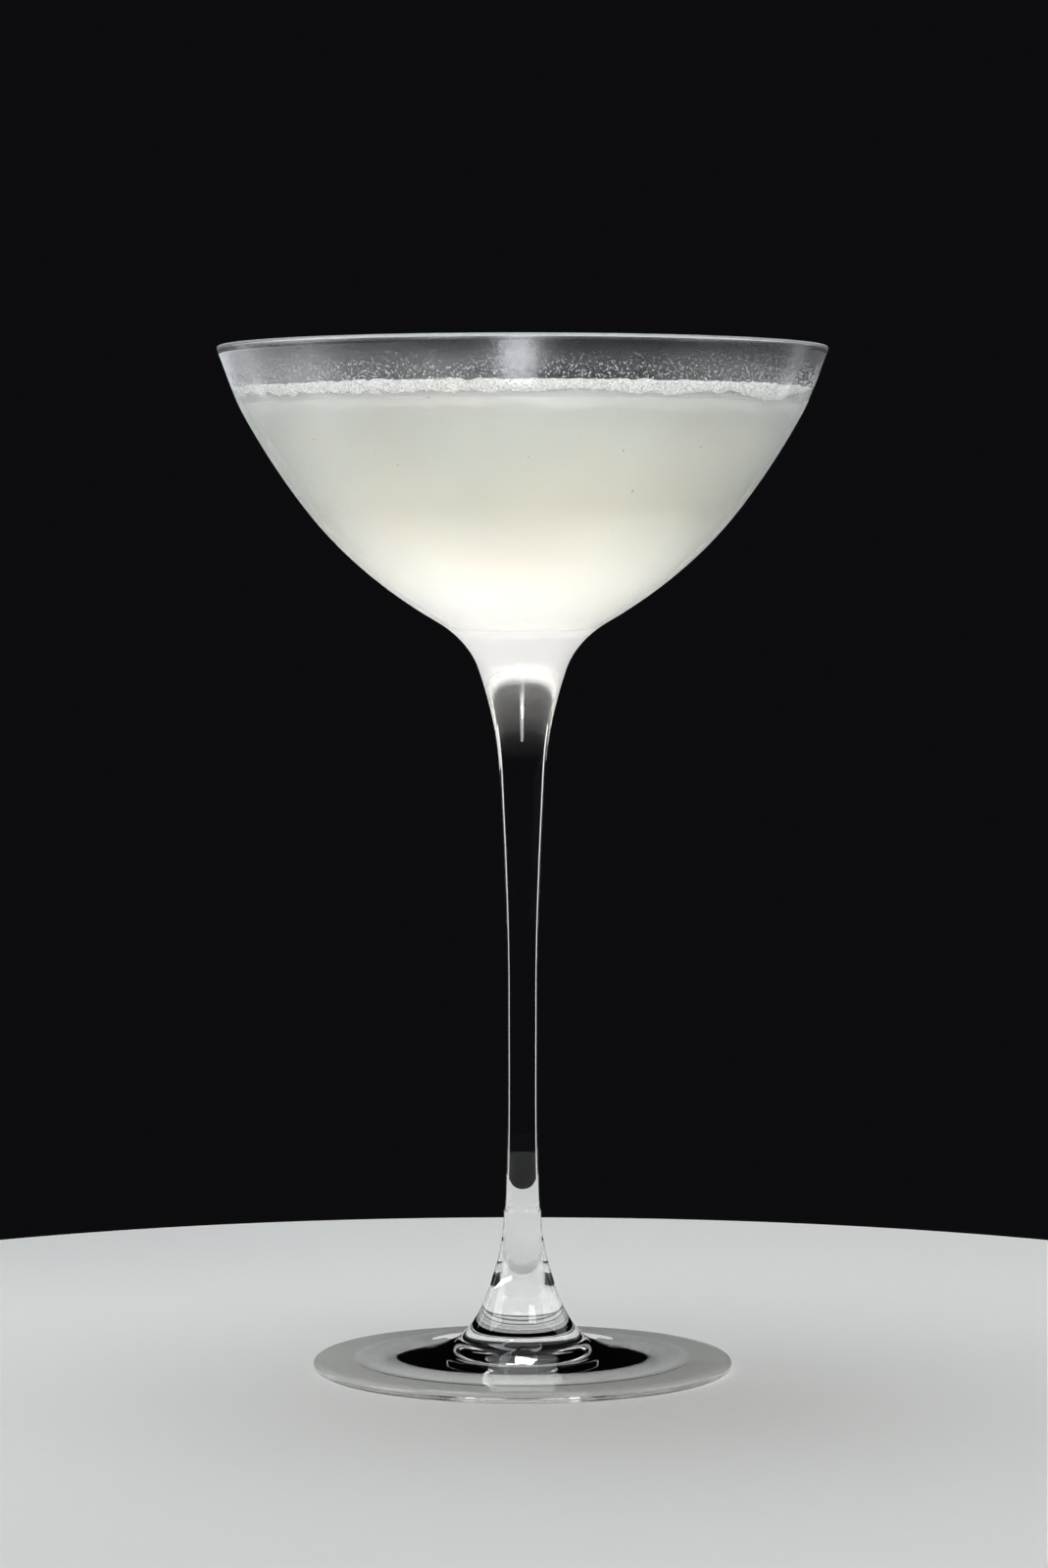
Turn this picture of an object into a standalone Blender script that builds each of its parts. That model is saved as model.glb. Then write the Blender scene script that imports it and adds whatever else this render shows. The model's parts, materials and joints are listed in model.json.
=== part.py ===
"""A shaken martini served up in a tall glass with a drawn stem.

Three pieces, each one closed solid of revolution about +Z: the glass, blown in one piece from foot
to rim, the cloudy drink that fills its bowl, and the layer of foam that floats on the drink. The
origin is the centre of the foot's underside, on the table. Lengths are in metres.

Blender 4.5: blender --background --python part.py
"""

import math
from collections import namedtuple

import bmesh
import bpy
from mathutils import Vector
from mathutils.geometry import interpolate_bezier

# The outline of the glass runs from the middle of its underside out round the foot, up the stem and
# the bowl to the rim, and back down the inside. A station is a point that the outline passes:
# its radius, its height, its lean, which is the direction of travel in degrees, where 0 is straight
# up, 90 is straight out and -90 is straight in, and the straight steps from the station before it.
Station = namedtuple("Station", "radius height lean steps")

# The foot stands on a flat ring round a shallow hollow, and its top sweeps up into the stem.
HOLLOW_MIDDLE = Station(0.0, 0.0015, 90, 0)
HOLLOW_EDGE = Station(0.0305, 0.0, 94, 4)
RING_EDGE = Station(0.0372, 0.0, 90, 1)
FOOT_EDGE = Station(0.0381, 0.0010, 0, 4)
FOOT_TOP = Station(0.0372, 0.0019, -85, 4)
FOOT_SLOPE = Station(0.0180, 0.00375, -79, 3)
FLARE_FOOT = Station(0.0110, 0.0061, -46.5, 5)
FLARE_WAIST = Station(0.0050, 0.0182, -17, 5)
FLARE_TOP = Station(0.0034, 0.0284, -0.5, 3)

# The stem is drawn down from the bowl and stuck to the foot's flare, which is a little thicker.
STEM_FOOT = Station(0.0031, 0.0294, -2.4, 3)
STEM_WAIST = Station(0.00275, 0.0680, 0, 3)
STEM_TOP = Station(0.0042, 0.1087, 3, 4)
NECK = Station(0.0079, 0.1271, 19, 4)

# The bowl opens wide at its root, rounds up through its belly and ends in a nearly straight lip.
BOWL_ROOT = Station(0.0154, 0.1356, 60, 7)
BELLY = Station(0.0388, 0.1555, 38, 6)
SHOULDER = Station(0.05005, 0.1726, 29, 4)
RIM = Station(0.0549, 0.1844, 23, 3)

# Thickness of the wall at the rim and, going down, where it faces each station of the bowl.
RIM_WALL = 0.0009
SHOULDER_WALL = 0.0011
BELLY_WALL = 0.0013
ROOT_WALL = 0.0022
BOWL_BOTTOM = Station(0.0, 0.1330, 270, 5)
LIP_STEPS = 5

# The drink and the foam on it. GAP is the clearance between neighbouring solids.
GAP = 0.0003
FOAM_TOP = 0.1772
FOAM_THICKNESS = 0.0022
FOAM_RINGS = 7

# The foam climbs a little where it clings to the glass.
CLIMB = 0.0004
CLIMB_WIDTH = 0.0030

# Low swells of the foam: a few waves, each with its radians per metre along X and Y and its phase.
SWELL_HEIGHT = 0.00012
SWELLS = ((310, 90, 0.0), (-130, 240, 1.3), (420, -350, 2.1))
SWELL_FADE = 6

SIDES = 60
HANDLE_SHARE = 1 / 3
MERGE = 1e-6
SMOOTH_ANGLE = math.radians(40)


def direction(lean):
    """The unit vector of travel in the outline's plane, as (outwards, 0, up)."""
    angle = math.radians(lean)
    return Vector((math.sin(angle), 0, math.cos(angle)))


def point(station):
    return Vector((station.radius, 0, station.height))


def across_wall(station, wall, steps):
    """The station of the inner face opposite an outer one, where the outline comes back down."""
    inner = point(station) + direction(station.lean - 90) * wall
    return Station(inner.x, inner.z, station.lean + 180, steps)


def span(start, end):
    """Points from one station to the next along a Bezier curve that keeps both leans."""
    reach = (point(end) - point(start)).length * HANDLE_SHARE
    first_handle = point(start) + direction(start.lean) * reach
    last_handle = point(end) - direction(end.lean) * reach
    return interpolate_bezier(point(start), first_handle, last_handle, point(end), end.steps + 1)


def outline(stations):
    points = [point(stations[0])]
    for start, end in zip(stations, stations[1:]):
        points += span(start, end)[1:]
    return points


def outer_outline():
    """From the middle of the underside, out round the foot and up to the rim."""
    foot = [HOLLOW_MIDDLE, HOLLOW_EDGE, RING_EDGE, FOOT_EDGE, FOOT_TOP, FOOT_SLOPE]
    flare = [FLARE_FOOT, FLARE_WAIST, FLARE_TOP]
    stem = [STEM_FOOT, STEM_WAIST, STEM_TOP, NECK]
    bowl = [BOWL_ROOT, BELLY, SHOULDER, RIM]
    return outline(foot + flare + stem + bowl)


def lip_outline():
    """The half-round lip, from the outer wall over to the inner one."""
    outside = point(RIM)
    centre = outside + direction(RIM.lean - 90) * RIM_WALL / 2
    along = direction(RIM.lean) * RIM_WALL / 2
    turns = [math.pi * step / LIP_STEPS for step in range(1, LIP_STEPS)]
    return [centre + (outside - centre) * math.cos(t) + along * math.sin(t) for t in turns]


def inner_outline():
    """The inside of the bowl, from the rim down to the middle of its bottom."""
    rim = across_wall(RIM, RIM_WALL, 0)
    shoulder = across_wall(SHOULDER, SHOULDER_WALL, 3)
    belly = across_wall(BELLY, BELLY_WALL, 4)
    root = across_wall(BOWL_ROOT, ROOT_WALL, 6)
    return outline([rim, shoulder, belly, root, BOWL_BOTTOM])


def inset(points, gap):
    """The inner outline moved off the wall by a gap, from the bottom's middle up to the rim."""
    moved = [Vector((0, 0, points[-1].z + gap))]
    for before, here, after in reversed(list(zip(points, points[1:], points[2:]))):
        along = (after - before).normalized()
        moved.append(here + Vector((along.z, 0, -along.x)) * gap)
    return moved


def radius_at(points, height):
    """The radius of a rising outline at a height, along the straight line between its points."""
    for low, high in zip(points, points[1:]):
        if low.z <= height <= high.z:
            share = (height - low.z) / (high.z - low.z)
            return low.x + (high.x - low.x) * share
    raise ValueError(f"the outline doesn't reach {height}")


def material(name, colour, roughness, transmission=0.0):
    made = bpy.data.materials.new(name)
    made.use_nodes = True
    shader = made.node_tree.nodes["Principled BSDF"]
    shader.inputs["Base Color"].default_value = (*colour, 1)
    shader.inputs["Metallic"].default_value = 0
    shader.inputs["Roughness"].default_value = roughness
    shader.inputs["Transmission Weight"].default_value = transmission
    return made


def turned(name, points, finish):
    """One closed solid from an outline that starts and ends on the axis."""
    mesh = bpy.data.meshes.new(name)
    bm = bmesh.new()
    verts = [bm.verts.new(p) for p in points]
    edges = [bm.edges.new(pair) for pair in zip(verts, verts[1:])]
    bmesh.ops.spin(
        bm, geom=verts + edges, axis=(0, 0, 1), cent=(0, 0, 0), steps=SIDES, angle=math.tau
    )
    bmesh.ops.remove_doubles(bm, verts=bm.verts, dist=MERGE)
    bmesh.ops.recalc_face_normals(bm, faces=bm.faces)
    bm.to_mesh(mesh)
    bm.free()
    mesh.materials.append(finish)
    mesh.shade_smooth()
    mesh.set_sharp_from_angle(angle=SMOOTH_ANGLE)
    solid = bpy.data.objects.new(name, mesh)
    bpy.context.collection.objects.link(solid)
    return solid


def make_glass():
    clear = material("clear_glass", (0.96, 0.98, 0.98), 0.02, transmission=1.0)
    points = outer_outline() + lip_outline() + inner_outline()
    return turned("glass", points, clear)


def make_drink(wall):
    """The drink, from the bottom of the bowl up to the underside of the foam."""
    level = FOAM_TOP - FOAM_THICKNESS - GAP
    side = [p for p in wall if p.z < level]
    top = [Vector((radius_at(wall, level), 0, level)), Vector((0, 0, level))]
    cloudy = material("cloudy_drink", (0.80, 0.82, 0.74), 0.25)
    return turned("drink", side + top, cloudy)


def swell(x, y, share):
    """The height of the swells at a point, which fade out as share, from middle to edge, nears 1."""
    waves = sum(math.sin(along_x * x + along_y * y + phase) for along_x, along_y, phase in SWELLS)
    return SWELL_HEIGHT * waves * (1 - share**SWELL_FADE)


def make_foam(wall):
    """The froth: a thin layer right across the drink that climbs a little at the glass."""
    low = FOAM_TOP - FOAM_THICKNESS
    high = FOAM_TOP + CLIMB
    edge = radius_at(wall, high)
    flat = edge - CLIMB_WIDTH
    corners = ((0, low), (radius_at(wall, low), low), (edge, high))
    rings = [(flat * (1 - ring / FOAM_RINGS), FOAM_TOP) for ring in range(FOAM_RINGS + 1)]
    points = [Vector((radius, 0, height)) for radius, height in (*corners, *rings)]
    froth = turned("foam", points, material("froth", (0.90, 0.91, 0.87), 0.6))
    for vertex in froth.data.vertices:
        if vertex.co.z > low + MERGE:
            vertex.co.z += swell(vertex.co.x, vertex.co.y, min(1, vertex.co.xy.length / edge))
    return froth


def main():
    for old in list(bpy.data.objects):
        bpy.data.objects.remove(old)
    make_glass()
    wall = inset(inner_outline(), GAP)
    make_drink(wall)
    make_foam(wall)


main()
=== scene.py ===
# %% [markdown]
# # A cocktail served up, in a tall blown glass
#
# This notebook dresses a plain solid model of a shaken drink in its stemmed glass. The solids come
# packed as a frame, in metres, with +Z up and the middle of the foot's underside at the origin. Each
# cell makes one piece or one finish: the glass, the cloudy drink, the froth, and the fine dew on
# the chilled bowl.

# %% Load the frame
import json
import math

import bpy
import numpy as np
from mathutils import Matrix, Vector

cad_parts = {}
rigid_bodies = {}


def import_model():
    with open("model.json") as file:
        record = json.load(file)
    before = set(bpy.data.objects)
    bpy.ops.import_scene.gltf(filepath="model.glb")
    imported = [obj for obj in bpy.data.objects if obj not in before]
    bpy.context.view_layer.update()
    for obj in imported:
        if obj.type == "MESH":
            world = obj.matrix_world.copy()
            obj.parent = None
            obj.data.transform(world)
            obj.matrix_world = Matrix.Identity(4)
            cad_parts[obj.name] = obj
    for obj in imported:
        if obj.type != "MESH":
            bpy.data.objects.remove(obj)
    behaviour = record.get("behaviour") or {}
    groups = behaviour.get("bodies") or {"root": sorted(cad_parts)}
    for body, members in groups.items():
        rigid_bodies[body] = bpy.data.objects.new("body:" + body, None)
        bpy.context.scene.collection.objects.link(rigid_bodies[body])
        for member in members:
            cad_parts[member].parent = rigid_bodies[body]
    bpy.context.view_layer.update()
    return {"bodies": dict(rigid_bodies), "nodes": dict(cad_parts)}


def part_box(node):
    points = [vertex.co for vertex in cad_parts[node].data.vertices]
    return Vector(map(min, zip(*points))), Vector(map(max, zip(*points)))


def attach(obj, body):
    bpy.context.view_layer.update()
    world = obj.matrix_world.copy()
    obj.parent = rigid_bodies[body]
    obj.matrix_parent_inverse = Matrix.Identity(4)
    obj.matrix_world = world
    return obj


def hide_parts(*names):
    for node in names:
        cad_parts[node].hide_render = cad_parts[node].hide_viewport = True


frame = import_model()
BODY = next(iter(frame["bodies"]))
MM = 0.001
print("nodes:", sorted(frame["nodes"]), "body:", BODY)

# %% [markdown]
# ## The camera
#
# The glass is seen from a little under a metre away, through a long lens, from the height of its
# bowl. Such a view shows the rim from below and the foot from above. The distance and height could
# be guessed and nudged, but the widths of the rim's and foot's ellipses fix them.

# %% Camera
DISTANCE = 0.860
EYE_HEIGHT = 0.1466
EYE_RIGHT = 0.00027
PITCH_DOWN = math.radians(2.687)
LENS_MM = 109.3
SENSOR_MM = 36

camera_data = bpy.data.cameras.new("camera")
camera_data.lens = LENS_MM
camera_data.sensor_width = SENSOR_MM
camera = bpy.data.objects.new("camera", camera_data)
camera.location = (EYE_RIGHT, -DISTANCE, EYE_HEIGHT)
camera.rotation_euler = (math.pi / 2 - PITCH_DOWN, 0, 0)
bpy.context.scene.collection.objects.link(camera)
bpy.context.scene.camera = camera
print("camera at", [round(v, 4) for v in camera.location])

# %% [markdown]
# ## Turned surfaces
#
# Everything here is round about the stem, so one helper makes most of it. A profile is an array of
# points, each a radius and a height. Turning it gives a grid of points: one row for each profile
# point and one column for each direction round the axis. Blender's Screw modifier could turn the
# profile too, but a grid in numpy lets a later step push every point by a formula.

# %% Profiles
def bezier(start, end, steps):
    """Points on a cubic curve between two stations (radius, height, lean in degrees).

    The handles are a third of the chord long and point along the leans. The point at t is the sum
    of the four control points weighted by (1-t)^3, 3t(1-t)^2, 3t^2(1-t) and t^3.
    """
    ends = np.array([start[:2], end[:2]])
    leans = np.radians([start[2], end[2]])
    ways = np.stack([np.sin(leans), np.cos(leans)], axis=1)
    reach = np.linalg.norm(ends[1] - ends[0]) / 3
    controls = np.stack([ends[0], ends[0] + ways[0] * reach, ends[1] - ways[1] * reach, ends[1]])
    t = np.linspace(0, 1, steps + 1)[:, None]
    weights = np.hstack([(1 - t) ** 3, 3 * t * (1 - t) ** 2, 3 * t**2 * (1 - t), t**3])
    return weights @ controls


def through(stations, steps):
    """One profile through all the stations, with that many steps in each span."""
    spans = [bezier(a, b, steps)[1:] for a, b in zip(stations, stations[1:])]
    return np.vstack([[stations[0][:2]], *spans])


def across_wall(station, wall):
    """The station on the inner face opposite an outer one, a wall's thickness along its normal."""
    radius, height, lean = station
    turn = math.radians(lean)
    return (radius - wall * math.cos(turn), height + wall * math.sin(turn), lean + 180)


def outward(profile):
    """Unit normals of a profile that travels up its outer side: the way along, turned clockwise."""
    along = np.gradient(profile, axis=0)
    along /= np.linalg.norm(along, axis=1)[:, None]
    return np.stack([along[:, 1], -along[:, 0]], axis=1)


# %% Grids into meshes
def lathe(profile, sides):
    """Turns a profile about Z: the point of row i at angle a is (r_i cos a, r_i sin a, z_i)."""
    angles = np.linspace(0, 2 * np.pi, sides, endpoint=False)
    r, z = profile[:, :1], profile[:, 1:]
    return np.stack([r * np.cos(angles), r * np.sin(angles), z + 0 * angles], axis=2)


def wrapped_faces(rows, columns):
    """Quads of a grid whose last column joins its first, facing out where rows go up outside."""
    row, column = np.meshgrid(np.arange(rows - 1), np.arange(columns), indexing="ij")
    beside = (column + 1) % columns
    corners = [(row, column), (row, beside), (row + 1, beside), (row + 1, column)]
    return np.stack([a * columns + b for a, b in corners], axis=2).reshape(-1, 4)


def capped(grid):
    """A closed surface from a wrapped grid: its first and last rows shrink to one point each.

    Returns the points, the grid's faces and the caps' faces. A cap's face is a triangle with the
    pole as one of its corners.
    """
    rows, columns = grid.shape[:2]
    points = np.vstack([grid[1:-1].reshape(-1, 3), grid[0].mean(0), grid[-1].mean(0)])
    low, high = len(points) - 2, len(points) - 1
    here = np.arange(columns)
    beside = (here + 1) % columns
    last = (rows - 3) * columns
    bottom = np.stack([beside, here, np.full(columns, low)], axis=1)
    top = np.stack([last + here, last + beside, np.full(columns, high)], axis=1)
    return points, wrapped_faces(rows - 2, columns), np.vstack([bottom, top])


def piece_of(name, points, faces, finish):
    """Makes an object of arrays of points and faces, smooth, with its finish, riding on the body."""
    mesh = bpy.data.meshes.new(name)
    mesh.from_pydata(points.tolist(), [], [face for block in faces for face in block.tolist()])
    mesh.materials.append(finish)
    mesh.shade_smooth()
    piece = bpy.data.objects.new(name, mesh)
    bpy.context.scene.collection.objects.link(piece)
    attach(piece, BODY)
    mesh.calc_loop_triangles()
    print(f"{name}: {len(points)} points, {len(mesh.loop_triangles)} triangles")
    return piece


# %% [markdown]
# ## Noise on arrays
#
# Froth and drawn glass aren't perfectly even. Blender has noise in mathutils, but it takes one point
# at a time. This one works on whole arrays: a table of random numbers is read at the corners of the
# cell that each point lies in, and the eight values are blended smoothly.

# %% Smooth noise
rng = np.random.default_rng(7)
NOISE_TABLE = rng.uniform(-1, 1, 4096)
NOISE_PRIMES = np.array([73856093, 19349663, 83492791])


def noise(points, cell):
    """Smooth noise between -1 and 1 with features of one cell's size.

    Each corner of the cell gets a random value from its whole-number place, and the value inside is
    the mean of the eight corners weighted by 3f^2 - 2f^3 of the distance f along each axis.
    """
    place = points / cell
    low = np.floor(place).astype(np.int64)
    part = place - low
    part = part * part * (3 - 2 * part)
    total = np.zeros(points.shape[:-1])
    for corner in np.ndindex(2, 2, 2):
        mixed = ((low + corner) * NOISE_PRIMES).astype(np.int64)
        index = (mixed[..., 0] ^ mixed[..., 1] ^ mixed[..., 2]) % len(NOISE_TABLE)
        weight = np.where(np.array(corner) == 1, part, 1 - part).prod(axis=-1)
        total += weight * NOISE_TABLE[index]
    return total


print("noise spans", noise(rng.uniform(0, 1, (2000, 3)), 0.1).round(2).min())

# %% [markdown]
# ## Shader helpers
#
# A material is a small program of nodes. It could be wired by hand in the Shader Editor, but a
# script says in words what each node is for. These helpers keep the wiring short. One adds a node
# and sets its sockets, and links an output that is given in place of a number. The rest stand for
# the few nodes that every finish here shares, such as the ramp that makes a mask of a height.

# %% Node helpers
def add(tree, kind, settings=(), **sockets):
    """Adds a node. Settings are its properties; a socket's name has _ for each space."""
    node = tree.nodes.new(kind)
    for key, value in dict(settings).items():
        setattr(node, key, value)
    for key, value in sockets.items():
        fill(tree, node.inputs[key.replace("_", " ")], value)
    return node


def fill(tree, socket, value):
    """Links an output into a socket, or sets the socket's own value."""
    if isinstance(value, bpy.types.NodeSocket):
        tree.links.new(value, socket)
    else:
        socket.default_value = value


def sums(tree, operation, *terms, clamp=False):
    """A Math node on its terms, each a number or an output; returns its result."""
    node = add(tree, "ShaderNodeMath", {"operation": operation, "use_clamp": clamp})
    for socket, term in zip(node.inputs, terms):
        fill(tree, socket, term)
    return node.outputs[0]


def ramp_of(tree, value, span, start, end, smooth=False):
    """A Map Range node: over the span the value turns from start to end, and stays so outside."""
    kind = "SMOOTHSTEP" if smooth else "LINEAR"
    node = add(tree, "ShaderNodeMapRange", {"interpolation_type": kind}, Value=value)
    for label, limit in zip(("From Min", "From Max", "To Min", "To Max"), (*span, start, end)):
        node.inputs[label].default_value = limit
    return node.outputs["Result"]


def coordinates(tree):
    """The Object coordinates as one vector, and the outputs with its X, Y and Z."""
    place = add(tree, "ShaderNodeTexCoord").outputs["Object"]
    return place, add(tree, "ShaderNodeSeparateXYZ", Vector=place).outputs


def scaled(tree, colour, factor):
    """A colour times a number, each a value or an output."""
    node = add(tree, "ShaderNodeVectorMath", {"operation": "SCALE"}, Scale=factor)
    fill(tree, node.inputs[0], colour)
    return node.outputs["Vector"]


def tinted(tree, share, under, over, blend="MIX"):
    """A Mix node on colours: the one under gives way to the one over by the share."""
    node = add(tree, "ShaderNodeMix", {"data_type": "RGBA", "blend_type": blend})
    fill(tree, node.inputs[0], share)
    fill(tree, node.inputs[6], under)
    fill(tree, node.inputs[7], over)
    return node.outputs[2]


def blended(tree, share, first, second):
    """A Mix Shader node: the first shader gives way to the second by the share."""
    node = add(tree, "ShaderNodeMixShader", Fac=share)
    tree.links.new(first.outputs[0], node.inputs[1])
    tree.links.new(second.outputs[0], node.inputs[2])
    return node


def is_shadow_ray(tree):
    """1 for a ray that asks what stands before a lamp, and 0 for every other."""
    return add(tree, "ShaderNodeLightPath").outputs["Is Shadow Ray"]


def new_material(name):
    """An empty node material, with its tree and the socket for its surface."""
    made = bpy.data.materials.new(name)
    made.use_nodes = True
    made.node_tree.nodes.clear()
    output = made.node_tree.nodes.new("ShaderNodeOutputMaterial")
    return made, made.node_tree, output.inputs["Surface"]


def new_group(name, inputs, outputs):
    """An empty shader node group with float inputs (name to default) and named outputs."""
    group = bpy.data.node_groups.new(name, "ShaderNodeTree")
    for label, value in inputs.items():
        socket = group.interface.new_socket(label, in_out="INPUT", socket_type="NodeSocketFloat")
        socket.default_value = value
    for label, kind in outputs.items():
        group.interface.new_socket(label, in_out="OUTPUT", socket_type=kind)
    return group, group.nodes.new("NodeGroupInput"), group.nodes.new("NodeGroupOutput")


def use_group(tree, group, **sockets):
    """Places a group in a material with its own values."""
    return add(tree, "ShaderNodeGroup", {"node_tree": group}, **sockets)


# %% [markdown]
# ## Dew on the chilled bowl
#
# The drink is ice cold, so the bowl fogs over outside. Fog is thousands of drops too small to see,
# and it does two things: it blurs what lies behind it, and it adds a pale veil of its own. The group
# below gives only the amount of fog at each place, from the height on the glass and a patchy noise.
# It sets in slowly from below. The glass uses it for its roughness and the veil for its cover, each
# with its own limits, so both thin out in the same patches.

# %% The fog's mask
FOG_BOTTOM = 110 * MM
FOG_DEFAULTS = {
    "Bottom": FOG_BOTTOM,
    "Bottom Fade": 17 * MM,
    "Top": 185.2 * MM,
    "Top Fade": 1.5 * MM,
    "Patches": 0.35,
}
PATCH_SCALE = 120.0

fog_group, given, taken = new_group("Fog", FOG_DEFAULTS, {"Amount": "NodeSocketFloat"})
place, axes = coordinates(fog_group)
rise = sums(fog_group, "SUBTRACT", axes["Z"], given.outputs["Bottom"])
rise = sums(fog_group, "DIVIDE", rise, given.outputs["Bottom Fade"], clamp=True)
rise = sums(fog_group, "POWER", rise, 2.0)
fall = sums(fog_group, "SUBTRACT", given.outputs["Top"], axes["Z"])
fall = sums(fog_group, "DIVIDE", fall, given.outputs["Top Fade"], clamp=True)
patch = add(fog_group, "ShaderNodeTexNoise", Vector=place, Scale=PATCH_SCALE, Detail=4.0)
patch = sums(fog_group, "MULTIPLY", patch.outputs["Fac"], given.outputs["Patches"])
cover = sums(fog_group, "SUBTRACT", 1.0, patch)
amount = sums(fog_group, "MULTIPLY", sums(fog_group, "MULTIPLY", rise, fall), cover, clamp=True)
fog_group.links.new(amount, taken.inputs["Amount"])
print("group", fog_group.name, "with", len(fog_group.nodes), "nodes")

# %% [markdown]
# ## Clear glass
#
# Clear glass is a Principled shader with full transmission. Cycles would let such glass throw a
# black shadow, because lamps aren't found through a bent ray, so a shadow ray meets a Transparent
# shader instead, paler face on and darker where the glass is seen edge on.
#
# The fog makes the outer face rough: not at all on the foot and the stem, most on the bowl, least in
# the band of grown drops at the froth, and somewhat more up to the lip. The last half millimetre of
# the lip gathers light as a lens does, and a little white mixed in there is a painted highlight for
# it. Separate materials could do this too, but a seam would show where they meet.

# %% The glass's finish
GLASS_IOR = 1.5
GLASS_COLOUR = (0.985, 0.995, 0.99, 1)
GLASS_FOG = {"Bottom": 0.114, "Bottom_Fade": 0.016, "Top": 0.187, "Top_Fade": 0.002, "Patches": 0.25}
LIP_ROUGHNESS, DROP_ROUGHNESS, BOWL_ROUGHNESS = 0.27, 0.16, 0.45
COLD_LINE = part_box("foam")[0].z
BOWL_TO_DROPS = (COLD_LINE - 1.4 * MM, COLD_LINE + 0.2 * MM)
DROPS_TO_LIP = (COLD_LINE + 2.6 * MM, COLD_LINE + 5 * MM)
LIP_HIGHLIGHT_SPAN = (184.5 * MM, 184.8 * MM)
LIP_PAINTED_HIGHLIGHT = (0.86, 0.89, 0.93, 1)
LIP_HIGHLIGHT_SHARE = 0.45
SHADE_FACE, SHADE_EDGE = 0.97, 0.45

glass_finish, tree, surface = new_material("clear_glass")
fog = use_group(tree, fog_group, **GLASS_FOG).outputs["Amount"]
outer = add(tree, "ShaderNodeAttribute", {"attribute_name": "outer_face"}).outputs["Fac"]
axes = coordinates(tree)[1]
below = ramp_of(tree, axes["Z"], BOWL_TO_DROPS, BOWL_ROUGHNESS, DROP_ROUGHNESS, smooth=True)
above = ramp_of(tree, axes["Z"], DROPS_TO_LIP, DROP_ROUGHNESS, LIP_ROUGHNESS, smooth=True)
most = sums(tree, "MAXIMUM", below, above)
body = add(
    tree,
    "ShaderNodeBsdfPrincipled",
    Base_Color=GLASS_COLOUR,
    Roughness=sums(tree, "MULTIPLY", sums(tree, "MULTIPLY", fog, outer), most),
    IOR=GLASS_IOR,
    Transmission_Weight=1.0,
)
# White on the lip's last half millimetre is a painted highlight for the light it gathers.
back = add(tree, "ShaderNodeBsdfDiffuse", Color=LIP_PAINTED_HIGHLIGHT)
onward = add(tree, "ShaderNodeBsdfTranslucent", Color=LIP_PAINTED_HIGHLIGHT)
lip_highlight_share = ramp_of(tree, axes["Z"], LIP_HIGHLIGHT_SPAN, 0, LIP_HIGHLIGHT_SHARE)
with_lip_highlight = blended(tree, lip_highlight_share, body, blended(tree, 0.5, back, onward))
facing = add(tree, "ShaderNodeLayerWeight", Blend=0.35).outputs["Facing"]
shade = ramp_of(tree, facing, (0, 1), SHADE_FACE, SHADE_EDGE)
lamp_side = add(tree, "ShaderNodeBsdfTransparent", Color=shade)
both = blended(tree, is_shadow_ray(tree), with_lip_highlight, lamp_side)
tree.links.new(both.outputs["Shader"], surface)
print("finish", glass_finish.name)

# %% [markdown]
# ## The glass
#
# The glass is one piece: a foot with a hollow under it, a flare, a thin drawn stem, and the bowl. Its
# outline passes a few stations, each a radius, a height and a lean, where 0 degrees goes straight up
# and 90 straight out. The stations are the solid model's own, and only the steps between them are
# finer. The stem gets the faint rings that drawing leaves, a few thousandths of a millimetre deep.

# %% The glass's outline
UNDERSIDE = [(0, 1.5 * MM, 90), (30.5 * MM, 0, 94), (37.2 * MM, 0, 90), (38.1 * MM, 1.0 * MM, 0)]
FOOT = [(37.2 * MM, 1.9 * MM, -85), (18 * MM, 3.75 * MM, -79), (11 * MM, 6.1 * MM, -46.5)]
FLARE = [(5 * MM, 18.2 * MM, -17), (3.4 * MM, 28.4 * MM, -0.5)]
STEM = [(3.1 * MM, 29.4 * MM, -2.4), (2.75 * MM, 68 * MM, 0), (4.2 * MM, 108.7 * MM, 3)]
NECK = (7.9 * MM, 127.1 * MM, 19)
ROOT = (15.4 * MM, 135.6 * MM, 60)
BELLY = (38.8 * MM, 155.5 * MM, 38)
SHOULDER = (50.05 * MM, 172.6 * MM, 29)
RIM = (54.9 * MM, 184.4 * MM, 23)
RIM_WALL = 0.9 * MM
SPAN_STEPS = 14
LIP_STEPS = 10
BOWL_BOTTOM = (0, 133 * MM, 270)

outside = through([*UNDERSIDE, *FOOT, *FLARE, *STEM, NECK, ROOT, BELLY, SHOULDER, RIM], SPAN_STEPS)
inside = through(
    [
        across_wall(RIM, RIM_WALL),
        across_wall(SHOULDER, 1.1 * MM),
        across_wall(BELLY, 1.3 * MM),
        across_wall(ROOT, 2.2 * MM),
        BOWL_BOTTOM,
    ],
    SPAN_STEPS,
)
turns = np.linspace(0, np.pi, LIP_STEPS + 1)[1:-1, None]
lip_centre = (outside[-1] + inside[0]) / 2
lip_along = np.array([math.sin(math.radians(RIM[2])), math.cos(math.radians(RIM[2]))])
lip = lip_centre + (outside[-1] - lip_centre) * np.cos(turns)
lip = lip + lip_along * RIM_WALL / 2 * np.sin(turns)
outline = np.vstack([outside, lip, inside])

# The curve over the foot's flat ring dips a hair under the floor, so it is pressed flat.
outline[:, 1] = np.maximum(outline[:, 1], 0)

# %% The glass's piece
GLASS_SIDES = 192
RING_DEPTH = 0.006 * MM
RINGS_FROM, RINGS_TO = 32 * MM, 126 * MM


def drawn_rings(profile):
    """Radial push of the drawn stem's rings: noise along the height, faded at both ends."""
    height = profile[:, 1]
    along = np.stack([0 * height, 0 * height, height], axis=1)
    waves = noise(along, 2.1 * MM) + 0.5 * noise(along + 1, 0.9 * MM)
    fade = np.clip((height - RINGS_FROM) / (6 * MM), 0, 1) * np.clip((RINGS_TO - height) / (6 * MM), 0, 1)
    on_stem = profile[:, 0] < 8.5 * MM
    return RING_DEPTH * waves * fade * on_stem


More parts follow.
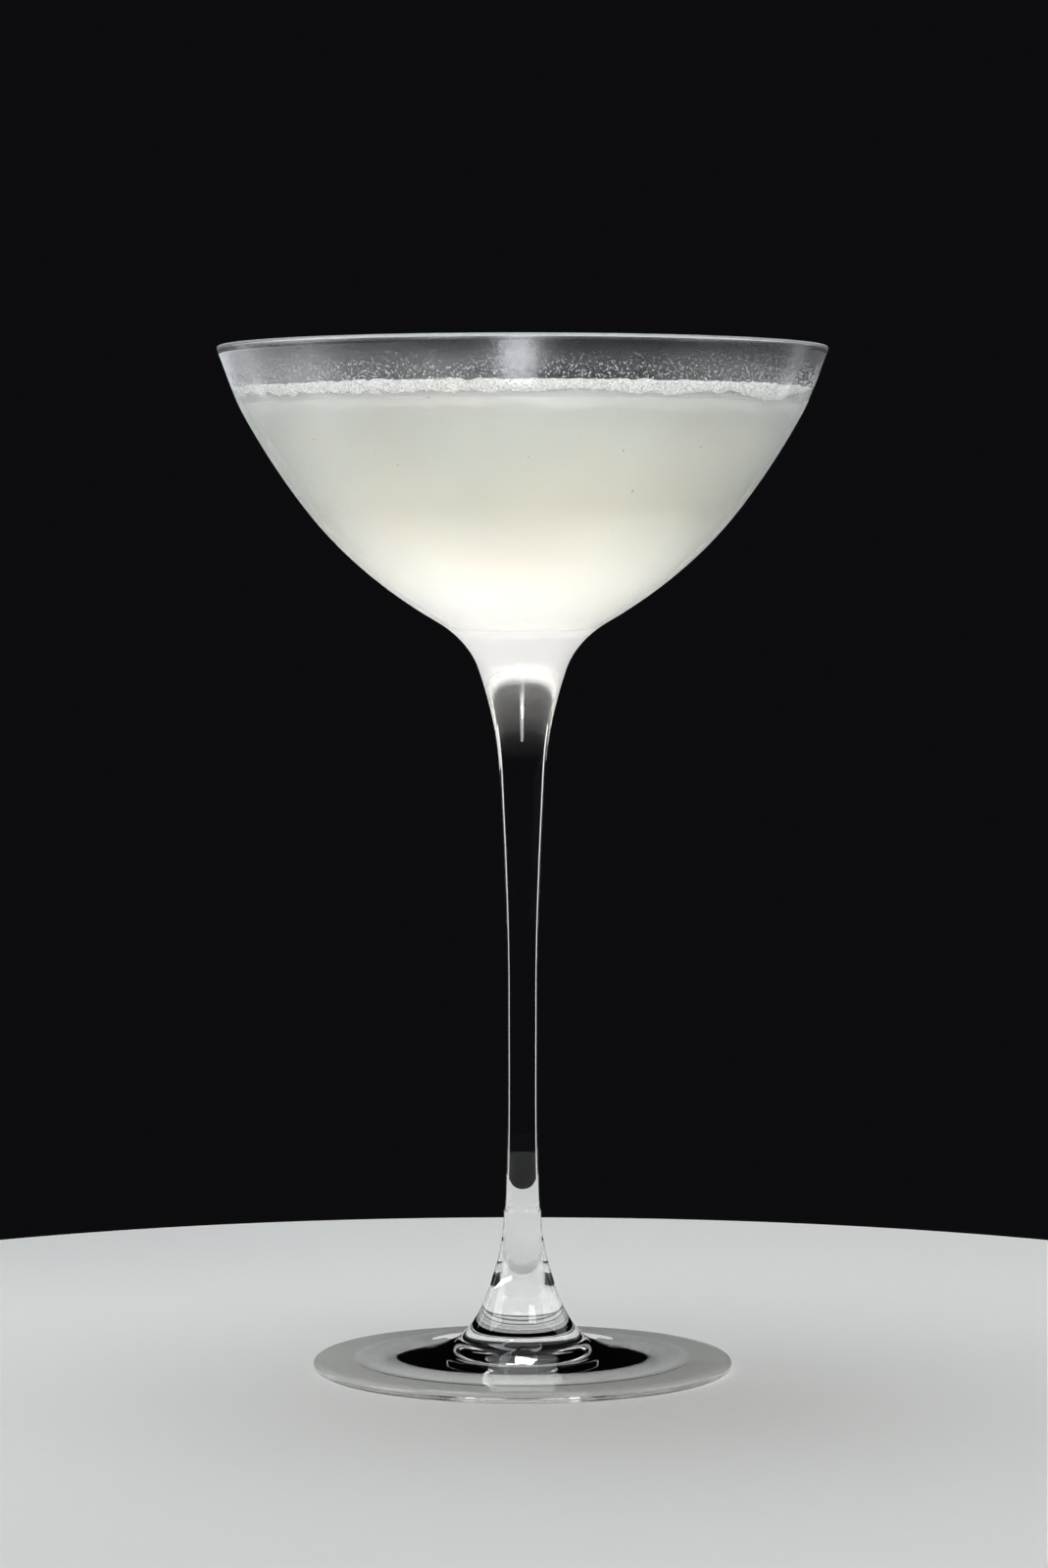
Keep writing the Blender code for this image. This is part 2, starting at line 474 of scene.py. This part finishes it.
def finer(profile, low, high, times):
    """The profile with its steps between two heights split, so that fine rings have points."""
    pieces = [profile[:1]]
    for a, b in zip(profile, profile[1:]):
        count = times if low < min(a[1], b[1]) and max(a[1], b[1]) < high and a[0] < 9 * MM else 1
        pieces.append(a + (b - a) * (np.arange(1, count + 1) / count)[:, None])
    return np.vstack(pieces)


stem_fine = finer(outline, RINGS_FROM, RINGS_TO, 3)
stem_fine[:, 0] += drawn_rings(stem_fine)
points, quads, caps = capped(lathe(stem_fine, GLASS_SIDES))
glass = piece_of("blown_glass", points, [quads, caps], glass_finish)
top_row = stem_fine[:, 1].argmax()
on_outside = (np.arange(len(stem_fine)) < top_row)[1:-1].repeat(GLASS_SIDES)
outer_face = glass.data.attributes.new("outer_face", "FLOAT", "POINT")
outer_face.data.foreach_set("value", np.append(on_outside, [1, 0]).astype(np.float32))
print("outer face:", int(on_outside.sum()), "points")
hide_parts("glass")

# %% [markdown]
# ## The veil
#
# The veil is the pale part of the fog: a skin a few hundredths of a millimetre thick round the bowl,
# mostly see-through. It could be mixed into the glass's own shader, but then the glass would lose
# its clean edge, so it is a thin closed shell of its own. Four masks make its cover:
#
# - Edge on, a look passes more drops, so the cover rises right at the outline.
# - At the bowl's root the veil is thickest: milky fog, and partly a painted glow for the light that
#   gathers there. It ends softly on the neck, lower at the sides than in the middle.
# - From the froth's lower edge up it is white on the left and nearly clear from the middle on: painted
#   light falling from the left.
# - There too, grown drops show as dots, each with a white middle that is a painted glint, and have
#   swallowed the fog round them.
#
# Tiny drops throw light both back and onward. On the upper bowl half of it goes on, and at the root
# all of it comes back, adding to the painted glow there. The veil throws no shadow, which would be a
# grey ring in the drink.

# %% The veil's finish
VEIL_FACE, VEIL_EDGE, EDGE_POWER = 0.06, 0.75, 5.0
VEIL_BACK, VEIL_ONWARD = (0.99, 0.99, 1, 1), (0.86, 0.90, 0.95, 1)
ONWARD_SPAN, ONWARD_SHARE = (135 * MM, 143 * MM), 0.5
ROOT_FOG_AND_GLOW_SPAN, ROOT_FOG_AND_GLOW_COVER = (131.2 * MM, 135.2 * MM), 1.5
ROOT_END, ROOT_SAG = (125.4 * MM, 129.8 * MM), 8 * MM
PAINTED_LIGHT_SIDE_SPAN, LEFT_PAINTED_LIGHT_COVER, RIGHT_PAINTED_LIGHT_COVER = (-50 * MM, 0), 1.25, 0.1
OVER_FROTH = (COLD_LINE, COLD_LINE + 1 * MM)
BEADS_FADE = (COLD_LINE + 2.6 * MM, COLD_LINE + 7.5 * MM)
BEAD_SCALE = 1300.0
BEAD_GLINT_EDGE, BEAD_GLINT_COVER = (0.16, 0.26), 0.6
CLEARING_EDGE, CLEARING_DEPTH = (0.40, 0.55), 0.9

veil_finish, tree, surface = new_material("fog_veil")
fog = use_group(tree, fog_group).outputs["Amount"]
place, axes = coordinates(tree)
facing = add(tree, "ShaderNodeLayerWeight", Blend=0.5).outputs["Facing"]
edge_on = ramp_of(tree, sums(tree, "POWER", facing, EDGE_POWER), (0, 1), VEIL_FACE, VEIL_EDGE)
# Painted glow: a thick white veil over the bowl's root, partly fog and partly standing in for light.
root = ramp_of(tree, axes["Z"], ROOT_FOG_AND_GLOW_SPAN, ROOT_FOG_AND_GLOW_COVER, 0, smooth=True)
sagging = sums(tree, "MULTIPLY_ADD", sums(tree, "POWER", facing, 2.0), ROOT_SAG, axes["Z"])
root = sums(tree, "MULTIPLY", root, ramp_of(tree, sagging, ROOT_END, 0, 1, smooth=True))
above = ramp_of(tree, axes["Z"], OVER_FROTH, 0, 1)
# Painted light: over the froth the veil is whiter on the left, where the lamps stand, and clear on the
# right.
side = ramp_of(tree, axes["X"], PAINTED_LIGHT_SIDE_SPAN, LEFT_PAINTED_LIGHT_COVER, RIGHT_PAINTED_LIGHT_COVER, smooth=True)
painted_left_light = sums(tree, "MULTIPLY_ADD", above, sums(tree, "SUBTRACT", side, 1.0), 1.0)
cover = sums(tree, "MULTIPLY", sums(tree, "ADD", edge_on, root), painted_left_light)
cover = sums(tree, "MULTIPLY", fog, cover, clamp=True)
reach = sums(tree, "MULTIPLY", ramp_of(tree, axes["Z"], BEADS_FADE, 1, 0), above)
cell = add(tree, "ShaderNodeTexVoronoi", Vector=place, Scale=BEAD_SCALE).outputs["Distance"]
# A white dot in each drop's middle is a painted glint; the clear ring round it is the fog it swallowed.
painted_glints = sums(tree, "MULTIPLY", ramp_of(tree, cell, BEAD_GLINT_EDGE, BEAD_GLINT_COVER, 0), reach)
swallowed = sums(tree, "MULTIPLY", ramp_of(tree, cell, CLEARING_EDGE, CLEARING_DEPTH, 0), reach)
cover = sums(tree, "MULTIPLY", cover, sums(tree, "SUBTRACT", 1.0, swallowed))
cover = sums(tree, "ADD", cover, painted_glints, clamp=True)
cover = sums(tree, "MULTIPLY", cover, sums(tree, "SUBTRACT", 1.0, is_shadow_ray(tree)))
back = add(tree, "ShaderNodeBsdfPrincipled", Base_Color=VEIL_BACK, Roughness=0.8)
onward = add(tree, "ShaderNodeBsdfTranslucent", Color=VEIL_ONWARD)
# At the root the veil sends all its light back, which adds to the painted glow.
split = ramp_of(tree, axes["Z"], ONWARD_SPAN, 0, ONWARD_SHARE, smooth=True)
clear = add(tree, "ShaderNodeBsdfTransparent")
both = blended(tree, cover, clear, blended(tree, split, back, onward))
tree.links.new(both.outputs["Shader"], surface)
print("finish", veil_finish.name)

# %% The veil's piece
VEIL_OFF, VEIL_THICK = 0.02 * MM, 0.03 * MM

bowl = outside[(outside[:, 1] > FOG_BOTTOM - 1 * MM) & (outside[:, 1] < RIM[1])]
bowl_out = outward(bowl)
shell = np.vstack([bowl + bowl_out * (VEIL_OFF + VEIL_THICK), (bowl + bowl_out * VEIL_OFF)[::-1]])
grid = lathe(shell, GLASS_SIDES)
grid = np.concatenate([grid, grid[:1]])
quads = wrapped_faces(len(grid), GLASS_SIDES) % (len(shell) * GLASS_SIDES)
piece_of("fog_veil", grid[:-1].reshape(-1, 3), [quads], veil_finish)

# %% [markdown]
# ## Drops
#
# Just above the froth the air in the glass is dampest, and the fog has grown into drops that can be
# seen: nearly half a millimetre wide at the froth's edge, and finer upwards. A few lie further down
# the bowl. Particles could scatter them, but wouldn't leave real faces. So each drop is a low dome
# of a few faces, and thousands of them are one mesh, worked out in one go. Their water is part
# clear and part white, and the white is a painted reflection of the bright froth. Above the froth's
# edge the colour is darker, a painted shade where the dark room stands behind.

# %% The drops' finish
WATER_IOR = 1.33
WATER_PAINTED_REFLECTION = (0.97, 0.98, 1.0)
WATER_PAINTED_SHADE_SPAN = (COLD_LINE - 1 * MM, COLD_LINE + 2 * MM)
WATER_REFLECTION_TONE, WATER_PAINTED_SHADE_TONE = 1.0, 0.78
WATER_SHADE = (0.9, 0.9, 0.9, 1)

water_finish, tree, surface = new_material("dew_water")
axes = coordinates(tree)[1]
# Painted reflection and shade: the water's white mirrors the froth, and it darkens above the froth's
# edge.
painted_tone = ramp_of(tree, axes["Z"], WATER_PAINTED_SHADE_SPAN, WATER_REFLECTION_TONE, WATER_PAINTED_SHADE_TONE)
body = add(
    tree,
    "ShaderNodeBsdfPrincipled",
    Base_Color=scaled(tree, WATER_PAINTED_REFLECTION, painted_tone),
    Roughness=0.05,
    IOR=WATER_IOR,
    Transmission_Weight=0.6,
)
lamp_side = add(tree, "ShaderNodeBsdfTransparent", Color=WATER_SHADE)
both = blended(tree, is_shadow_ray(tree), body, lamp_side)
tree.links.new(both.outputs["Shader"], surface)
print("finish", water_finish.name)

# %% The drops' shape
DOME_SIDES = 6
DOME_TURNS = np.arange(DOME_SIDES) * 2 * np.pi / DOME_SIDES
DOME_RING = np.stack([np.cos(DOME_TURNS), np.sin(DOME_TURNS), 0 * DOME_TURNS], axis=1)
DOME = np.vstack([[0, 0, 1], DOME_RING * 0.68 + [0, 0, 0.78], DOME_RING, [0, 0, -0.1]])


def dome_faces():
    """Triangles and quads of one dome: a fan at its top, a band of quads, and a fan under it."""
    here = np.arange(DOME_SIDES)
    beside = (here + 1) % DOME_SIDES
    upper, lower, foot = 1, 1 + DOME_SIDES, 1 + 2 * DOME_SIDES
    top = np.stack([upper + here, upper + beside, 0 * here], axis=1)
    band = np.stack([lower + here, lower + beside, upper + beside, upper + here], axis=1)
    base = np.stack([lower + beside, lower + here, 0 * here + foot], axis=1)
    return band, np.vstack([top, base])


def drops_on_bowl(name, angles, heights, radii, tallness):
    """Domes on the bowl's outside. Each is scaled by its radius and stood on the bowl's normal.

    The normal of the turned surface is the profile's normal carried round the axis, and the dome's
    flat directions are the way round the axis and the way up the profile.
    """
    up_wall = outside[outside[:, 1] > NECK[1]]
    normal = outward(up_wall)
    reach = np.interp(heights, up_wall[:, 1], up_wall[:, 0])
    out_part = np.interp(heights, up_wall[:, 1], normal[:, 0])
    up_part = np.interp(heights, up_wall[:, 1], normal[:, 1])
    c, s, none = np.cos(angles), np.sin(angles), 0 * angles
    round_way = np.stack([-s, c, none], axis=1)
    facing_way = np.stack([c * out_part, s * out_part, up_part], axis=1)
    along_way = np.cross(facing_way, round_way)
    centre = np.stack([reach * c, reach * s, heights], axis=1)
    tall = (radii * tallness)[:, None, None]
    wide = radii[:, None, None]
    points = (
        centre[:, None]
        + DOME[None, :, :1] * wide * round_way[:, None]
        + DOME[None, :, 1:2] * wide * along_way[:, None]
        + DOME[None, :, 2:] * tall * facing_way[:, None]
    )
    offsets = (np.arange(len(angles)) * len(DOME))[:, None, None]
    faces = [(block[None] + offsets).reshape(-1, block.shape[1]) for block in dome_faces()]
    return piece_of(name, points.reshape(-1, 3), faces, water_finish)


# %% The drops' places
FROTH_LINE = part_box("foam")[1].z
BAND_COLUMNS, BAND_LINES = 700, 12
BAND_HEIGHT = 4.6 * MM
BAND_RADIUS_MM, BAND_SHRINK_MM = 0.19, 0.09
BARE_SHARE, BARE_RISE = 0.42, 0.42
BAND_TALLNESS, LOOSE_TALLNESS = 0.45, 0.55
LOOSE_DROPS = 200
LOOSE_REACH, LOOSE_ABOVE = 36 * MM, 3 * MM
LOOSE_SMALL, LOOSE_SPREAD = 0.06 * MM, 0.16 * MM

column, line = np.meshgrid(np.arange(BAND_COLUMNS), np.arange(BAND_LINES))
jitter = rng.uniform(-0.5, 0.5, (2, *column.shape))
angles = (column + 0.5 * (line % 2) + 0.8 * jitter[0]) * 2 * np.pi / BAND_COLUMNS
share = (line + 0.5 + 0.9 * jitter[1]) / BAND_LINES
heights = FROTH_LINE + 0.1 * MM + share * BAND_HEIGHT
radii = (BAND_RADIUS_MM - BAND_SHRINK_MM * share) * MM * rng.uniform(0.5, 1.15, share.shape)
kept = rng.uniform(0, 1, share.shape) > BARE_SHARE + BARE_RISE * share
drops_on_bowl("dew_band", angles[kept], heights[kept], radii[kept], BAND_TALLNESS)

angles = rng.uniform(0, 2 * np.pi, LOOSE_DROPS)
heights = FROTH_LINE - LOOSE_REACH * rng.uniform(0, 1, LOOSE_DROPS) ** 1.6 + LOOSE_ABOVE
radii = LOOSE_SMALL + LOOSE_SPREAD * rng.uniform(0, 1, LOOSE_DROPS) ** 4
drops_on_bowl("dew_drops", angles, heights, radii, LOOSE_TALLNESS)

# %% [markdown]
# ## The cloudy drink
#
# Shaking with citrus leaves a drink cloudy, so light goes in and wanders about before it comes out.
# A volume shader would do that truly but slowly. Subsurface scattering on a closed surface gives
# nearly the same glow at a small cost. The piece reaches just into the glass's wall, so no film of
# air shows between them, and for the same reason it has hardly any shine of its own.
#
# The narrow root of the bowl is palest: its white colour is a painted glow for the light that comes
# through it from all round. Higher up the drink is its own greyish green-white, in soft clouds, with
# cooler patches. At the top the froth hangs into it in pale lumps, which the colour shows as a fringe
# with a noisy edge.

# %% The drink's finish
DRINK_GLOW_SPAN = (133 * MM, 175 * MM)
DRINK_COLOURS_AND_PAINTED_GLOW = [
    (0.00, (0.99, 0.985, 0.97, 1)),
    (0.25, (0.91, 0.89, 0.835, 1)),
    (0.55, (0.61, 0.605, 0.545, 1)),
    (1.00, (0.63, 0.65, 0.61, 1)),
]
CLOUD_SCALE, CLOUD_AMOUNT = 55.0, 0.25
FRINGE_REACH = 5 * MM
FRINGE_SPAN, FRINGE_SHARE = (175.1 * MM, 176.4 * MM), 0.85
FRINGE_COLOUR = (0.88, 0.88, 0.82, 1)
COOL_TINT = (0.96, 0.99, 1.0, 1)
COOL_EDGE = (0.45, 0.65)
GLOW_REACH = 10 * MM

cloud_group, given, taken = new_group(
    "Clouding", {"Scale": 60.0, "Amount": 0.1}, {"Factor": "NodeSocketFloat"}
)
place, axes = coordinates(cloud_group)
cloud = add(cloud_group, "ShaderNodeTexNoise", Vector=place, Scale=given.outputs["Scale"], Detail=3.0)
spread = sums(cloud_group, "SUBTRACT", cloud.outputs["Fac"], 0.5)
factor = sums(cloud_group, "MULTIPLY_ADD", spread, given.outputs["Amount"], 1.0)
cloud_group.links.new(factor, taken.inputs["Factor"])

drink_finish, tree, surface = new_material("cloudy_drink")
place, axes = coordinates(tree)
# Colour by height: the white at the root is a painted glow, darkening upward into the drink's own greyish
# green-white.
drink_glow_ramp = add(tree, "ShaderNodeValToRGB", Fac=ramp_of(tree, axes["Z"], DRINK_GLOW_SPAN, 0, 1))
drink_glow_ramp.color_ramp.elements.remove(drink_glow_ramp.color_ramp.elements[1])
drink_glow_ramp.color_ramp.elements[0].color = DRINK_COLOURS_AND_PAINTED_GLOW[0][1]
for where, colour in DRINK_COLOURS_AND_PAINTED_GLOW[1:]:
    drink_glow_ramp.color_ramp.elements.new(where).color = colour
lumps = add(tree, "ShaderNodeTexNoise", Vector=place, Scale=420.0, Detail=5.0).outputs["Fac"]
hang = sums(tree, "MULTIPLY_ADD", lumps, FRINGE_REACH, axes["Z"])
fringe = ramp_of(tree, hang, FRINGE_SPAN, 0, FRINGE_SHARE)
topped = tinted(tree, fringe, drink_glow_ramp.outputs["Color"], FRINGE_COLOUR)
patch = add(tree, "ShaderNodeTexNoise", Vector=place, Scale=38.0, Detail=2.0).outputs["Fac"]
patch = ramp_of(tree, patch, COOL_EDGE, 0, 1, smooth=True)
cooled = tinted(tree, patch, topped, COOL_TINT, blend="MULTIPLY")
clouds = use_group(tree, cloud_group, Scale=CLOUD_SCALE, Amount=CLOUD_AMOUNT).outputs["Factor"]
body = add(
    tree,
    "ShaderNodeBsdfPrincipled",
    Base_Color=scaled(tree, cooled, clouds),
    Roughness=0.4,
    Subsurface_Weight=1.0,
    Subsurface_Radius=(1.0, 0.97, 0.9),
    Subsurface_Scale=GLOW_REACH,
    Specular_IOR_Level=0.1,
)
tree.links.new(body.outputs["BSDF"], surface)
print("finish", drink_finish.name)

# %% The drink's piece
DRINK_SIDES = 160
INTO_WALL = 0.35 * MM
DRINK_UNDER_FROTH = 1.6 * MM
TOP_RINGS = 6
foam_low, foam_high = (corner.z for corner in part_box("foam"))

wall_up = inside[::-1]
wall_up = wall_up + outward(wall_up) * INTO_WALL
wall_up[0] = (0, wall_up[0, 1])
level = foam_low + DRINK_UNDER_FROTH
below = wall_up[wall_up[:, 1] < level - 0.1 * MM]
edge = np.interp(level, wall_up[:, 1], wall_up[:, 0])
flat_top = np.stack([edge * np.linspace(1, 0, TOP_RINGS), np.full(TOP_RINGS, level)], axis=1)
points, quads, caps = capped(lathe(np.vstack([below, flat_top]), DRINK_SIDES))
drink = piece_of("cloudy_drink", points, [quads, caps], drink_finish)
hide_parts("drink")

# %% [markdown]
# ## The froth
#
# Froth is packed small bubbles. From the side it is a white band with an uneven lower edge; from
# above it is a soft field with swells and pits. Its bubbles are too fine to be faces, so a Voronoi
# texture gives them in bump, and in colour as painted shade between the bubbles, lighter at their
# middles. The mesh has only the relief that is larger.

# %% The froth's finish
BUBBLE_SCALE, GRAIN_SCALE = 1900.0, 900.0
FROTH_COLOUR = (0.97, 0.975, 0.95)
BUBBLE_PAINTED_SHADE, BUBBLE_PAINTED_LIGHT = -0.45, 1.16

foam_finish, tree, surface = new_material("froth")
place, axes = coordinates(tree)
cells = add(tree, "ShaderNodeTexVoronoi", Vector=place, Scale=BUBBLE_SCALE).outputs["Distance"]
grain = add(tree, "ShaderNodeTexNoise", Vector=place, Scale=GRAIN_SCALE, Detail=3.0).outputs["Fac"]
clouds = use_group(tree, cloud_group, Scale=700.0, Amount=0.5).outputs["Factor"]
# Painted shade: the colour darkens between the bubbles and is lightest at their middles.
painted_bubble_shade = sums(tree, "MULTIPLY_ADD", cells, BUBBLE_PAINTED_SHADE, BUBBLE_PAINTED_LIGHT)
relief = sums(tree, "ADD", cells, grain)
bump = add(tree, "ShaderNodeBump", Height=relief, Strength=0.9, Distance=0.4 * MM)
body = add(
    tree,
    "ShaderNodeBsdfPrincipled",
    Base_Color=scaled(tree, FROTH_COLOUR, sums(tree, "MULTIPLY", painted_bubble_shade, clouds)),
    Roughness=0.55,
    Subsurface_Weight=0.35,
    Subsurface_Radius=(1.0, 1.0, 0.95),
    Subsurface_Scale=2 * MM,
    Normal=bump.outputs["Normal"],
)
tree.links.new(body.outputs["BSDF"], surface)
print("finish", foam_finish.name)

# %% [markdown]
# ## The froth's shape
#
# A turned disc would crowd its points at the middle, so the top is a square grid pressed into a
# circle, which keeps them even. A band of rows goes down from the grid's border along the wall, and
# a point in the middle closes it below. The band's lower edge hangs by a noise, a little deeper on
# the right, and draws in from the wall as it goes, so that it sinks into the drink without a line.

# %% The froth's surfaces
TOP_CELLS = 264
BAND_ROWS = 7
FOAM_INTO_WALL = 0.5 * MM
FOAM_LEVEL = foam_high - 0.4 * MM
CLIMB = 0.5 * MM
DRAW_IN = 0.32 * MM


def wall_radius(height, into):
    """The inner wall's radius at each height, moved into the wall by so much."""
    shifted = inside[::-1] + outward(inside[::-1]) * into
    return np.interp(height, shifted[:, 1], shifted[:, 0])


def disc_grid(cells):
    """A square grid pressed into a unit disc: x = u sqrt(1 - v^2/2), y = v sqrt(1 - u^2/2)."""
    u, v = np.meshgrid(np.linspace(-1, 1, cells + 1), np.linspace(-1, 1, cells + 1), indexing="ij")
    return np.stack([u * np.sqrt(1 - v**2 / 2), v * np.sqrt(1 - u**2 / 2)], axis=2)


def froth_relief(flat):
    """Height of the froth's top: broad swells, smaller lumps, and fine pits, from three noises."""
    at = np.concatenate([flat, 0 * flat[..., :1]], axis=-1)
    lumps = 0.16 * noise(at, 7 * MM) + 0.10 * noise(at + 1, 2.6 * MM) + 0.07 * noise(at + 2, 1.1 * MM)
    return lumps * MM


def froth_top():
    """The grid of the top: its relief, and a climb where it clings to the wall.

    With s the radius's share of the whole, the climb is CLIMB times s to the 40th times a noise
    round a half, and the relief is scaled by 1 minus s to the 30th, so that it ends at the wall.
    """
    disc = disc_grid(TOP_CELLS)
    share = np.linalg.norm(disc, axis=2)
    reach = wall_radius(FOAM_LEVEL + CLIMB, FOAM_INTO_WALL)
    top = np.concatenate([disc * reach, np.zeros_like(disc[..., :1])], axis=2)
    lumps = 0.5 + 0.5 * noise(top, 2.3 * MM) + 0.45 * noise(top + 1, 0.7 * MM)
    top[..., 2] = FOAM_LEVEL + lumps * CLIMB * share**40
    top[..., 2] += froth_relief(top[..., :2]) * (1 - share**30)
    return top


def hanging(angles):
    """How far the band's lower edge hangs below the foam's solid at each angle round the axis.

    It is 0.15 mm, plus three noises read round a ring, plus 0.7 mm times the fourth power of the
    angle's cosine on the side of +X.
    """
    ring = np.stack([np.cos(angles), np.sin(angles), 0 * angles], axis=1) * 50 * MM
    lumps = 0.8 * noise(ring, 6 * MM) + 0.7 * noise(ring + 3, 1.7 * MM) + 0.45 * noise(ring + 5, 0.8 * MM)
    thicker = 0.7 * np.clip(np.cos(angles), 0, 1) ** 4
    return (0.15 + lumps + thicker) * MM


def froth_band(rim):
    """Rows from the top's border down the wall, drawn in by DRAW_IN times the way down squared."""
    angles = np.arctan2(rim[:, 1], rim[:, 0])
    down = np.linspace(0, 1, BAND_ROWS + 1)[1:, None]
    lowest = foam_low - hanging(angles)
    heights = rim[:, 2] + (lowest - rim[:, 2]) * down
    radii = wall_radius(heights, FOAM_INTO_WALL) - DRAW_IN * down**2
    return np.stack([radii * np.cos(angles), radii * np.sin(angles), heights], axis=2)


# %% The froth's piece
top = froth_top()
side = TOP_CELLS + 1
index = np.arange(side * side).reshape(side, side)
corners = [index[:-1, :-1], index[1:, :-1], index[1:, 1:], index[:-1, 1:]]
top_faces = np.stack(corners, axis=2).reshape(-1, 4)
border = np.concatenate([index[:-1, 0], index[-1, :-1], index[:0:-1, -1], index[0, :0:-1]])
band = froth_band(top.reshape(-1, 3)[border])
count = len(border)
rows = np.vstack([border, side * side + np.arange(BAND_ROWS * count).reshape(BAND_ROWS, count)])
ahead = np.roll(rows, -1, axis=1)
band_faces = np.stack([rows[1:], ahead[1:], ahead[:-1], rows[:-1]], axis=2).reshape(-1, 4)
under = side * side + BAND_ROWS * count
low_faces = np.stack([ahead[-1], rows[-1], np.full(count, under)], axis=1)
points = np.vstack([top.reshape(-1, 3), band.reshape(-1, 3), [[0, 0, foam_low]]])
foam = piece_of("froth", points, [top_faces, band_faces, low_faces], foam_finish)
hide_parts("foam")

# %% [markdown]
# ## The floor
#
# A round pale floor in a dark room. A floor that ran to the horizon would fill the clear stem with
# white, so it ends sixteen centimetres behind the foot, and the stem is seen against the dark.

# %% Floor
FLOOR_RADIUS = 200 * MM
FLOOR_THICKNESS = 12 * MM
FLOOR_BEVEL = 2 * MM
FLOOR_SIDES = 256

floor_finish, tree, surface = new_material("pale_floor")
place, axes = coordinates(tree)
grain = add(tree, "ShaderNodeTexNoise", Vector=place, Scale=400.0, Detail=4.0).outputs["Fac"]
bump = add(tree, "ShaderNodeBump", Height=grain, Strength=0.15, Distance=0.4 * MM)
body = add(
    tree,
    "ShaderNodeBsdfPrincipled",
    Base_Color=(0.97, 0.962, 0.93, 1),
    Roughness=0.7,
    Normal=bump.outputs["Normal"],
)
tree.links.new(body.outputs["BSDF"], surface)
floor_profile = np.array(
    [
        (0, -FLOOR_THICKNESS),
        (FLOOR_RADIUS - FLOOR_BEVEL, -FLOOR_THICKNESS),
        (FLOOR_RADIUS, FLOOR_BEVEL - FLOOR_THICKNESS),
        (FLOOR_RADIUS, -FLOOR_BEVEL),
        (FLOOR_RADIUS - FLOOR_BEVEL, 0),
        (0, 0),
    ]
)
points, quads, caps = capped(lathe(floor_profile, FLOOR_SIDES))
floor_mesh = bpy.data.meshes.new("floor")
floor_mesh.from_pydata(points.tolist(), [], quads.tolist() + caps.tolist())
floor_mesh.materials.append(floor_finish)
floor = bpy.data.objects.new("floor", floor_mesh)
bpy.context.scene.collection.objects.link(floor)
print("floor:", FLOOR_RADIUS, "m in radius")

# %% [markdown]
# ## The lights
#
# Clear glass is drawn by what it mirrors and bends, so each lamp has its own work. The room is
# nearly black, which keeps the middle of the stem dark.
#
# - The overhead box lights the froth and the wall over it. The boxes at the sides light the drink.
# - The two low boxes stand below the floor's level, where the wall over the froth mirrors them:
#   one as the pale blur in its middle, the other as its light left end.
# - Two upright strips behind are mirrored along the stem's edges, down to its foot.
# - A small warm spot from low in front makes the glow over the bowl's root.
#
# One large soft box would be simpler, but the glass would have no edges and the drink no glow.

# %% Lights
DARK_ROOM = (0.0039, 0.0039, 0.0046, 1)
BOWL_MIDDLE = (0, 0, 0.15)
SIDE_BOX = (0.30, 0.40)
STRIP = (0.06, 0.38)
STEM_MIDDLE = (0, 0, 0.08)

world = bpy.data.worlds.new("dark_room")
world.use_nodes = True
world.node_tree.nodes["Background"].inputs["Color"].default_value = DARK_ROOM
bpy.context.scene.world = world
bpy.context.scene.view_settings.view_transform = "Standard"


def set_up(lamp, place, aim, watts, colour):
    """Gives a lamp its power and colour, and stands it at a place, turned to face its aim."""
    lamp.energy = watts
    lamp.color = colour
    held = bpy.data.objects.new(lamp.name, lamp)
    way = np.array(aim) - np.array(place)
    held.location = place
    held.rotation_euler = (
        math.pi / 2 + math.atan2(way[2], math.hypot(way[0], way[1])),
        0,
        math.atan2(way[1], way[0]) - math.pi / 2,
    )
    bpy.context.scene.collection.objects.link(held)


def soft_box(name, place, aim, size, watts, colour=(1, 1, 1)):
    """A rectangular lamp."""
    lamp = bpy.data.lights.new(name, "AREA")
    lamp.shape = "RECTANGLE"
    lamp.size, lamp.size_y = size
    set_up(lamp, place, aim, watts, colour)


def soft_spot(name, place, aim, degrees, watts, colour):
    """A narrow cone of light that fades from its middle to its edge."""
    lamp = bpy.data.lights.new(name, "SPOT")
    lamp.spot_size = math.radians(degrees)
    lamp.spot_blend = 1.0
    lamp.shadow_soft_size = 0.05
    set_up(lamp, place, aim, watts, colour)


soft_box("overhead", (-0.05, 0.12, 0.75), (0, 0, 0.1), (0.5, 0.5), 2.9, (0.90, 0.95, 1))
soft_box("low_front", (-0.02, -0.60, -0.19), BOWL_MIDDLE, (0.14, 0.20), 1.0, (0.89, 0.92, 1))
soft_box("low_left", (-0.50, 0.24, -0.28), BOWL_MIDDLE, (0.6, 0.30), 0.9)
soft_box("left_box", (-0.58, -0.10, 0.34), BOWL_MIDDLE, SIDE_BOX, 1.1)
soft_box("right_box", (0.58, -0.10, 0.34), BOWL_MIDDLE, SIDE_BOX, 0.56)
soft_box("right_back", (0.55, 0.20, 0.34), BOWL_MIDDLE, SIDE_BOX, 0.4)
soft_box("front_right", (0.35, -0.58, 0.62), BOWL_MIDDLE, (0.25, 0.25), 1.1)
soft_box("back_left", (-0.45, 0.35, 0.08), STEM_MIDDLE, STRIP, 0.09)
soft_box("back_right", (0.45, 0.35, 0.08), STEM_MIDDLE, STRIP, 0.08)
soft_spot("pool", (0.0, -0.60, -0.16), (0.0, -0.03, 0.136), 6.6, 25, (1, 0.93, 0.81))
